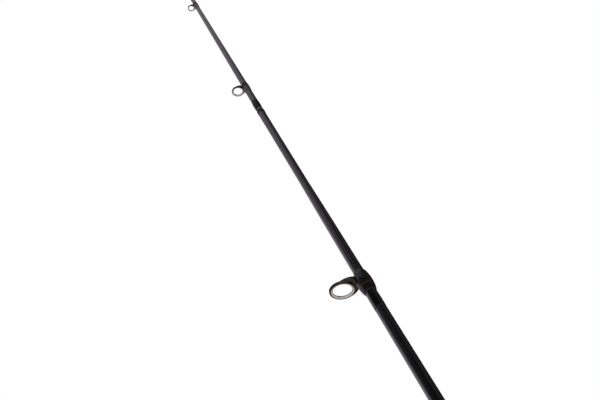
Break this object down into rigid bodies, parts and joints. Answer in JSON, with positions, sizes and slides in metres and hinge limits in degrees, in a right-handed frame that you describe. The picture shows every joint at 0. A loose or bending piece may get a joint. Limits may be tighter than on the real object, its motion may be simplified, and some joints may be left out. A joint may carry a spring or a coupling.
{
  "type": "spinning rod",
  "caption": "Two-piece black graphite spinning rod with a spigot ferrule, foam grips, screw-down reel seat and wrapped single-foot line guides.",
  "frame": {"origin": "centre of the butt cap's flat end", "axes": "+Z along the rod from butt to tip, -Y is the side that the line guides and the reel are on, +X completes a right-handed frame"},
  "size_m": [0.028, 0.0549, 2.1242],
  "materials": {
    "carbon_blank": "satin unsanded graphite",
    "spigot_graphite": "ground graphite",
    "cap_rubber": "matte",
    "eva_foam": "fine matte foam",
    "check_metal": "anodised satin",
    "arbor_foam": "cut foam",
    "seat_polymer": "moulded satin",
    "hood_metal": "gunmetal plated",
    "nut_polymer": "moulded satin",
    "frame_metal": "gunmetal plated",
    "ring_insert": "polished",
    "thread_wrap": "black thread under epoxy",
    "trim_thread": "copper thread under epoxy",
    "clear_coat": "epoxy coat"
  },
  "bodies": {
    "butt_section": {"butt_blank": "carbon_blank", "butt_cap": "cap_rubber", "butt_ferrule_wrap": "thread_wrap", "butt_grip": "eva_foam", "butt_grip_check": "check_metal", "ferrule_spigot": "spigot_graphite", "fixed_hood": "hood_metal", "fore_grip": "eva_foam", "fore_grip_check": "check_metal", "guide_1_frame": "frame_metal", "guide_1_ring": "ring_insert", "guide_1_trim": "trim_thread", "guide_1_wrap": "thread_wrap", "hook_keeper": "frame_metal", "hook_keeper_wraps": "thread_wrap", "label_coat": "clear_coat", "reel_seat_body": "seat_polymer", "seat_arbors": "arbor_foam", "seat_grip": "eva_foam", "seat_grip_check": "check_metal", "stripper_frame": "frame_metal", "stripper_ring": "ring_insert", "stripper_wraps": "thread_wrap"},
    "tip_section": {"guide_2_frame": "frame_metal", "guide_2_ring": "ring_insert", "guide_2_wrap": "thread_wrap", "guide_3_frame": "frame_metal", "guide_3_ring": "ring_insert", "guide_3_wrap": "thread_wrap", "guide_4_frame": "frame_metal", "guide_4_ring": "ring_insert", "guide_4_wrap": "thread_wrap", "guide_5_frame": "frame_metal", "guide_5_ring": "ring_insert", "guide_5_wrap": "thread_wrap", "guide_6_frame": "frame_metal", "guide_6_ring": "ring_insert", "guide_6_wrap": "thread_wrap", "guide_7_frame": "frame_metal", "guide_7_ring": "ring_insert", "guide_7_wrap": "thread_wrap", "guide_8_frame": "frame_metal", "guide_8_ring": "ring_insert", "guide_8_wrap": "thread_wrap", "guide_9_frame": "frame_metal", "guide_9_ring": "ring_insert", "guide_9_wrap": "thread_wrap", "tip_blank": "carbon_blank", "tip_ferrule_wrap": "thread_wrap", "tip_top_frame": "frame_metal", "tip_top_ring": "ring_insert", "tip_top_tube": "frame_metal"},
    "sliding_hood": {"sliding_hood": "hood_metal"},
    "lock_nut": {"lock_nut": "nut_polymer"}
  },
  "joints": [
    {"name": "ferrule_slide", "type": "slide", "parent": "butt_section", "child": "tip_section", "axis": [0, 0, 1], "range_m": [0, 0.08]},
    {"name": "hood_slide", "type": "slide", "parent": "butt_section", "child": "sliding_hood", "axis": [0, 0, -1], "range_m": [0, 0.02]},
    {"name": "nut_turn", "type": "hinge", "parent": "sliding_hood", "child": "lock_nut", "pos_m": [0, 0, 0.345], "axis": [0, 0, -1], "range_deg": [0, 2400]}
  ],
  "couplings": [
    {"joint": "nut_turn", "follows": "hood_slide", "rad_per_m": 2094.4}
  ]
}
